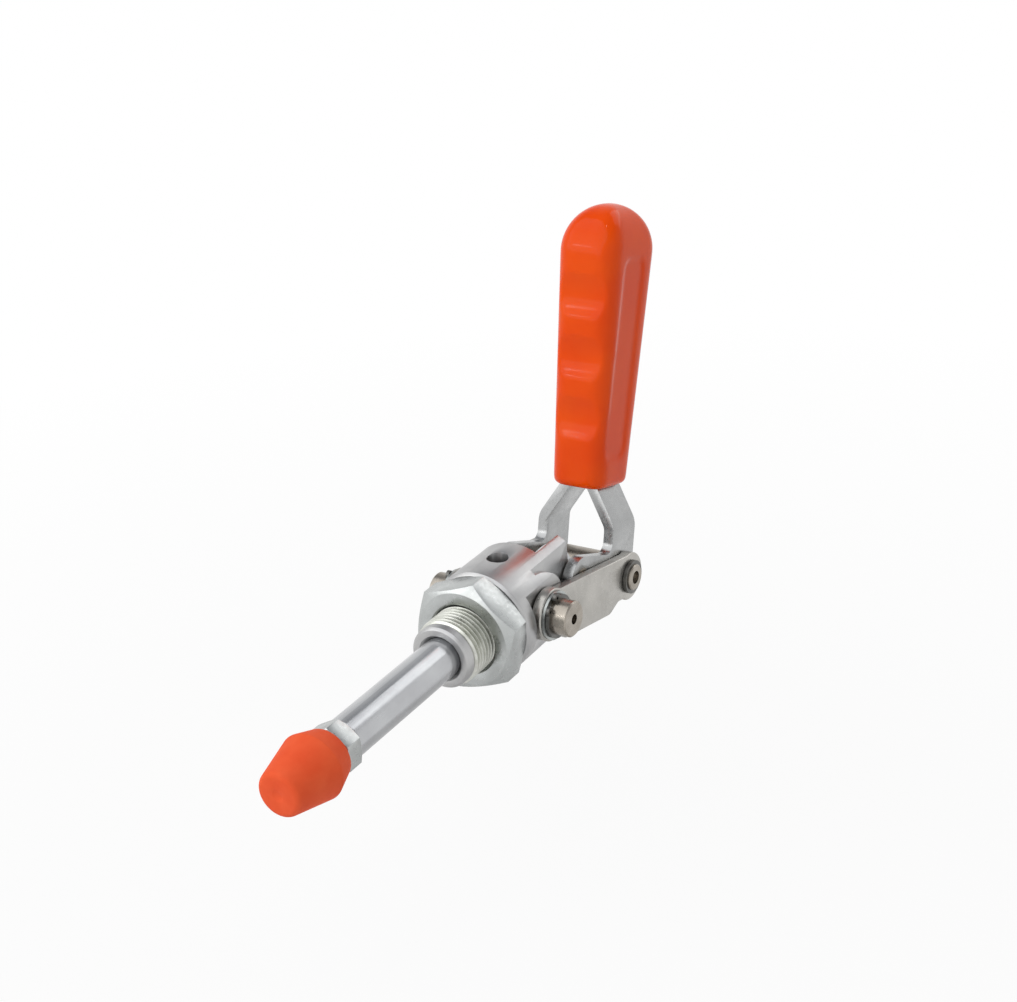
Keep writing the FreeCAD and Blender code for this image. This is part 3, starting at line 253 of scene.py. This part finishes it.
# The pivot studs, pressed into the body's sides, with a washer and an eared retaining ring each.
# The studs are turned and ground steel. The rings are phosphated spring steel, and so are the two
# on the rear pin.

pin_steel = steel_skin("ground_pin_steel", bright=(0.40, 0.365, 0.32), dark=(0.30, 0.27, 0.23),
                       roughness=0.28, patch=300.0, along=(1.0, 9.0, 1.0))
ring_steel = steel_skin("phosphated_ring_steel", bright=(0.19, 0.185, 0.175),
                        dark=(0.11, 0.11, 0.105), roughness=0.38, patch=400.0)
washer_plate = steel_skin("washer_plate", bright=(0.46, 0.48, 0.47), dark=(0.34, 0.36, 0.35),
                          roughness=0.30, patch=300.0)
for side in ("left", "right"):
    finish_with(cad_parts["pivot_stud_" + side], pin_steel)
    finish_with(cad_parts["front_washer_" + side], washer_plate)
    for ring in ("front_circlip_", "rear_circlip_"):
        finish_with(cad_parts[ring + side], ring_steel)

# The plunger: bright drawn round bar that slides in the body, with a cross pin and two turned
# collars at its rear end. Its drawing marks run along it.

rod_steel = steel_skin("drawn_rod_steel", bright=(0.53, 0.54, 0.55), dark=(0.43, 0.435, 0.45),
                       roughness=0.20, patch=70.0, along=(0.04, 1.0, 1.0), relief=0.00005)
finish_with(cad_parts["plunger_rod"], rod_steel)
finish_with(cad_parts["plunger_cross_pin"], pin_steel)
for side in ("left", "right"):
    finish_with(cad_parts["cross_pin_collar_" + side], pin_steel)

# The lock nut and the stud that carries the tip: standard parts, zinc plated as the large nut is.
# The nut is run against the rod's end and keeps the stud from turning.

lock_nut = copied_from("tip_lock_nut", "plated_lock_nut")
break_edges(lock_nut, width=0.00015, angle=20.0)
finish_with(lock_nut, nut_plate)
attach(lock_nut, "plunger")
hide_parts("tip_lock_nut")
finish_with(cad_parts["tip_stud"], nut_plate)

# The tip: a bumper of orange rubber, moulded round the stud's disc and widest at its rim. Its face
# keeps the shallow mark of the mould's gate, and its skin is matte and a little dusty.

TIP_FACE, GATE_RADIUS, GATE_DEPTH = 0.0862, 0.004, 0.0004
DUSTY, CLEAN = (0.3, (0.84, 0.088, 0.020)), (0.75, (0.90, 0.120, 0.034))
rubber, tree, shader, place = made_of("orange_rubber")
shader.inputs["Roughness"].default_value = 0.72
shader.inputs["Specular IOR Level"].default_value = 0.3
dust = pattern_on(tree, place, scale=160.0, detail=5.0)
tree.links.new(toned(tree, dust, DUSTY, CLEAN), shader.inputs["Base Color"])
emboss(tree, shader, pattern_on(tree, place, scale=2600.0), strength=0.35, depth=0.00004)
tip = copied_from("rubber_tip", "moulded_tip")
bpy.ops.mesh.primitive_uv_sphere_add(segments=48, ring_count=24, radius=GATE_RADIUS,
                                     location=(TIP_FACE + GATE_RADIUS - GATE_DEPTH, 0, 0))
cut_with(tip, bpy.context.object, "DIFFERENCE")
break_edges(tip, width=0.0003, angle=22.0)
finish_with(tip, rubber)
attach(tip, "plunger")
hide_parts("rubber_tip")

# The two links: stamped bars that turn on the studs and on the rear pin, one on each side of the
# body. Their zinc plate is slightly warm in colour, and their edges are tumbled round.

link_plate = steel_skin("link_plate", bright=(0.47, 0.455, 0.425), dark=(0.37, 0.36, 0.335),
                        roughness=0.30, patch=110.0)
for side in ("left", "right"):
    link = copied_from("link_" + side, "plated_link_" + side)
    break_edges(link, width=0.0002)
    finish_with(link, link_plate)
    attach(link, "links")
    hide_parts("link_" + side)

# The rear pivot: a ground pin pressed through both handle plates, and a spacer tube between them.
# The cross pin's two ends in the plates' toes and the tangs' two rivets are of the same steel.

for node in ("rear_pivot_pin", "plate_spacer_tube", "cross_pin_end_left", "cross_pin_end_right",
             "tang_rivet_lower", "tang_rivet_upper"):
    finish_with(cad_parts[node], pin_steel)

# The handle plates: steel strip, stamped and bent inwards so that the two tangs meet inside the
# grip. They are zinc plated, and the rear pin and the cross pin's ends go through their feet.

strip_plate = steel_skin("strip_plate", bright=(0.43, 0.435, 0.435), dark=(0.335, 0.34, 0.34),
                         roughness=0.28, patch=100.0)
for side in ("left", "right"):
    plate = copied_from("handle_plate_" + side, "plated_handle_plate_" + side)
    break_edges(plate, width=0.0003)
    finish_with(plate, strip_plate)
    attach(plate, "handle")
    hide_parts("handle_plate_" + side)

# The grip: glossy orange plastic moulded over the tangs, with soft finger hollows in front and a
# sunk panel on each side. Its top is a smooth dome, and all its corners are generously round.

VOXEL_SIZE, SOFTENING, SOFTENING_PASSES = 0.00045, 0.5, 30
DEEP, WARM = (0.35, (0.84, 0.064, 0.000)), (0.7, (0.88, 0.084, 0.002))
grip = copied_from("grip", "moulded_grip")
even = grip.modifiers.new("even", "REMESH")
even.mode = "VOXEL"
even.voxel_size = VOXEL_SIZE
bpy.ops.object.modifier_apply(modifier=even.name)
soften = grip.modifiers.new("soften", "SMOOTH")
soften.factor = SOFTENING
soften.iterations = SOFTENING_PASSES
bpy.ops.object.modifier_apply(modifier=soften.name)
bpy.ops.object.shade_smooth()
plastic, tree, shader, place = made_of("orange_plastic")
shader.inputs["Specular IOR Level"].default_value = 0.14
flow = pattern_on(tree, place, scale=55.0, detail=4.0)
tree.links.new(toned(tree, flow, DEEP, WARM), shader.inputs["Base Color"])
handling = ranged(tree, flow, span=(0.0, 1.0), result=(0.09, 0.15))
tree.links.new(handling, shader.inputs["Roughness"])
emboss(tree, shader, pattern_on(tree, place, scale=420.0), strength=0.25, depth=0.00005)
finish_with(grip, plastic)
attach(grip, "handle")
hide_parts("grip")

# The studio: a pale floor, a pale room, plain lamps and a camera where the photograph was taken.
# None of it belongs to the object.

SENSOR_WIDTH, FOCAL_PIXELS, PHOTO_WIDTH = 36.0, 2000.0, 1017.0
eye = bpy.data.cameras.new("photo_camera")
camera = bpy.data.objects.new("photo_camera", eye)
bpy.context.scene.collection.objects.link(camera)
right, up, back = (-0.5109, 0.8569, -0.0682), (-0.3947, -0.1634, 0.9042), (0.7637, 0.4888, 0.4217)
camera.matrix_world = (Matrix.Translation((0.40513, 0.27813, 0.27013))
                       @ Matrix((right, up, back)).transposed().to_4x4())
eye.sensor_width = SENSOR_WIDTH
eye.lens = SENSOR_WIDTH * FOCAL_PIXELS / PHOTO_WIDTH
eye.clip_start = 0.01
bpy.context.scene.camera = camera


def combined(tree, operation, first, second):
    """One product or maximum of two sockets."""
    node = tree.nodes.new("ShaderNodeMath")
    node.operation = operation
    tree.links.new(first, node.inputs[0])
    tree.links.new(second, node.inputs[1])
    return node.outputs["Value"]


def seen_and_mirrored(tree):
    """Two sockets: one for what the camera sees itself, one for what gloss or glass shows it."""
    ray = tree.nodes.new("ShaderNodeLightPath")
    mirrored = combined(tree, "MAXIMUM", ray.outputs["Is Glossy Ray"],
                        ray.outputs["Is Transmission Ray"])
    return ray.outputs["Is Camera Ray"], mirrored


# Painted glow on the floor: it glows white for the camera and, more weakly, in what gloss shows.
# The glow is held back near the object, so that its real shadow shows there, and rises to full
# white far away, where the lamps' light falls off.
FLOOR_SIZE, FLOOR_LEVEL = 5.0, -0.088
SEEN_GLOW_FADE, MIRRORED_GLOW_FADE = (0.15, 0.50, 0.90), (0.10, 0.17, 0.10)
bpy.ops.mesh.primitive_plane_add(size=FLOOR_SIZE, location=(0.0, 0.0, FLOOR_LEVEL))
floor = bpy.context.object
floor.name = "floor"
white, tree, shader, place = made_of("floor_white")
shader.inputs["Base Color"].default_value = (0.8, 0.8, 0.8, 1.0)
shader.inputs["Roughness"].default_value = 0.9
distance = tree.nodes.new("ShaderNodeVectorMath")
distance.operation = "LENGTH"
tree.links.new(place, distance.inputs[0])
shares = []
for rays, (near, far, least) in zip(seen_and_mirrored(tree), (SEEN_GLOW_FADE, MIRRORED_GLOW_FADE)):
    painted_glow_fade = ranged(tree, distance.outputs["Value"], span=(near, far), result=(least, 1.0))
    shares.append(combined(tree, "MULTIPLY", rays, painted_glow_fade))
glow = tree.nodes.new("ShaderNodeEmission")
blend = tree.nodes.new("ShaderNodeMixShader")
tree.links.new(combined(tree, "MAXIMUM", *shares), blend.inputs["Fac"])
tree.links.new(shader.outputs["BSDF"], blend.inputs[1])
tree.links.new(glow.outputs["Emission"], blend.inputs[2])
tree.links.new(blend.outputs["Shader"], tree.nodes["Material Output"].inputs["Surface"])
floor.data.materials.append(white)

ROOM_STRENGTH = 0.38
HORIZON, ZENITH = (0.35, (1.0, 1.0, 1.0)), (0.80, (0.30, 0.31, 0.33))
world = bpy.data.worlds.new("studio")
world.use_nodes = True
tree = world.node_tree
room = tree.nodes["Background"]
room.inputs["Color"].default_value = (1.0, 1.0, 1.0, 1.0)
room.inputs["Strength"].default_value = ROOM_STRENGTH
direction = tree.nodes.new("ShaderNodeTexCoord")
parts = tree.nodes.new("ShaderNodeSeparateXYZ")
tree.links.new(direction.outputs["Generated"], parts.inputs["Vector"])
backdrop = tree.nodes.new("ShaderNodeBackground")
tree.links.new(toned(tree, parts.outputs["Z"], HORIZON, ZENITH), backdrop.inputs["Color"])
blend = tree.nodes.new("ShaderNodeMixShader")
tree.links.new(combined(tree, "MAXIMUM", *seen_and_mirrored(tree)), blend.inputs["Fac"])
tree.links.new(room.outputs["Background"], blend.inputs[1])
tree.links.new(backdrop.outputs["Background"], blend.inputs[2])
tree.links.new(blend.outputs["Shader"], tree.nodes["World Output"].inputs["Surface"])
bpy.context.scene.world = world

LAMPS = (("key", (0.62, -0.35, 0.85), 12.5, 1.8),
         ("side", (-0.75, 0.20, 0.59), 1.3, 0.6),
         ("ceiling_spot", (-0.07, 0.10, 0.95), 0.16, 0.03),
         ("front_spot", (0.52, 0.35, 0.78), 0.12, 0.03),
         ("left_spot", (0.72, -0.51, 0.48), 0.12, 0.03))
for name, stand, watts, width in LAMPS:
    light = bpy.data.lights.new(name, "AREA")
    light.energy = watts
    light.size = width
    lamp = bpy.data.objects.new(name, light)
    lamp.location = stand
    lamp.rotation_euler = (-Vector(stand)).to_track_quat("-Z", "Y").to_euler()
    bpy.context.scene.collection.objects.link(lamp)

bpy.context.scene.view_settings.view_transform = "Standard"
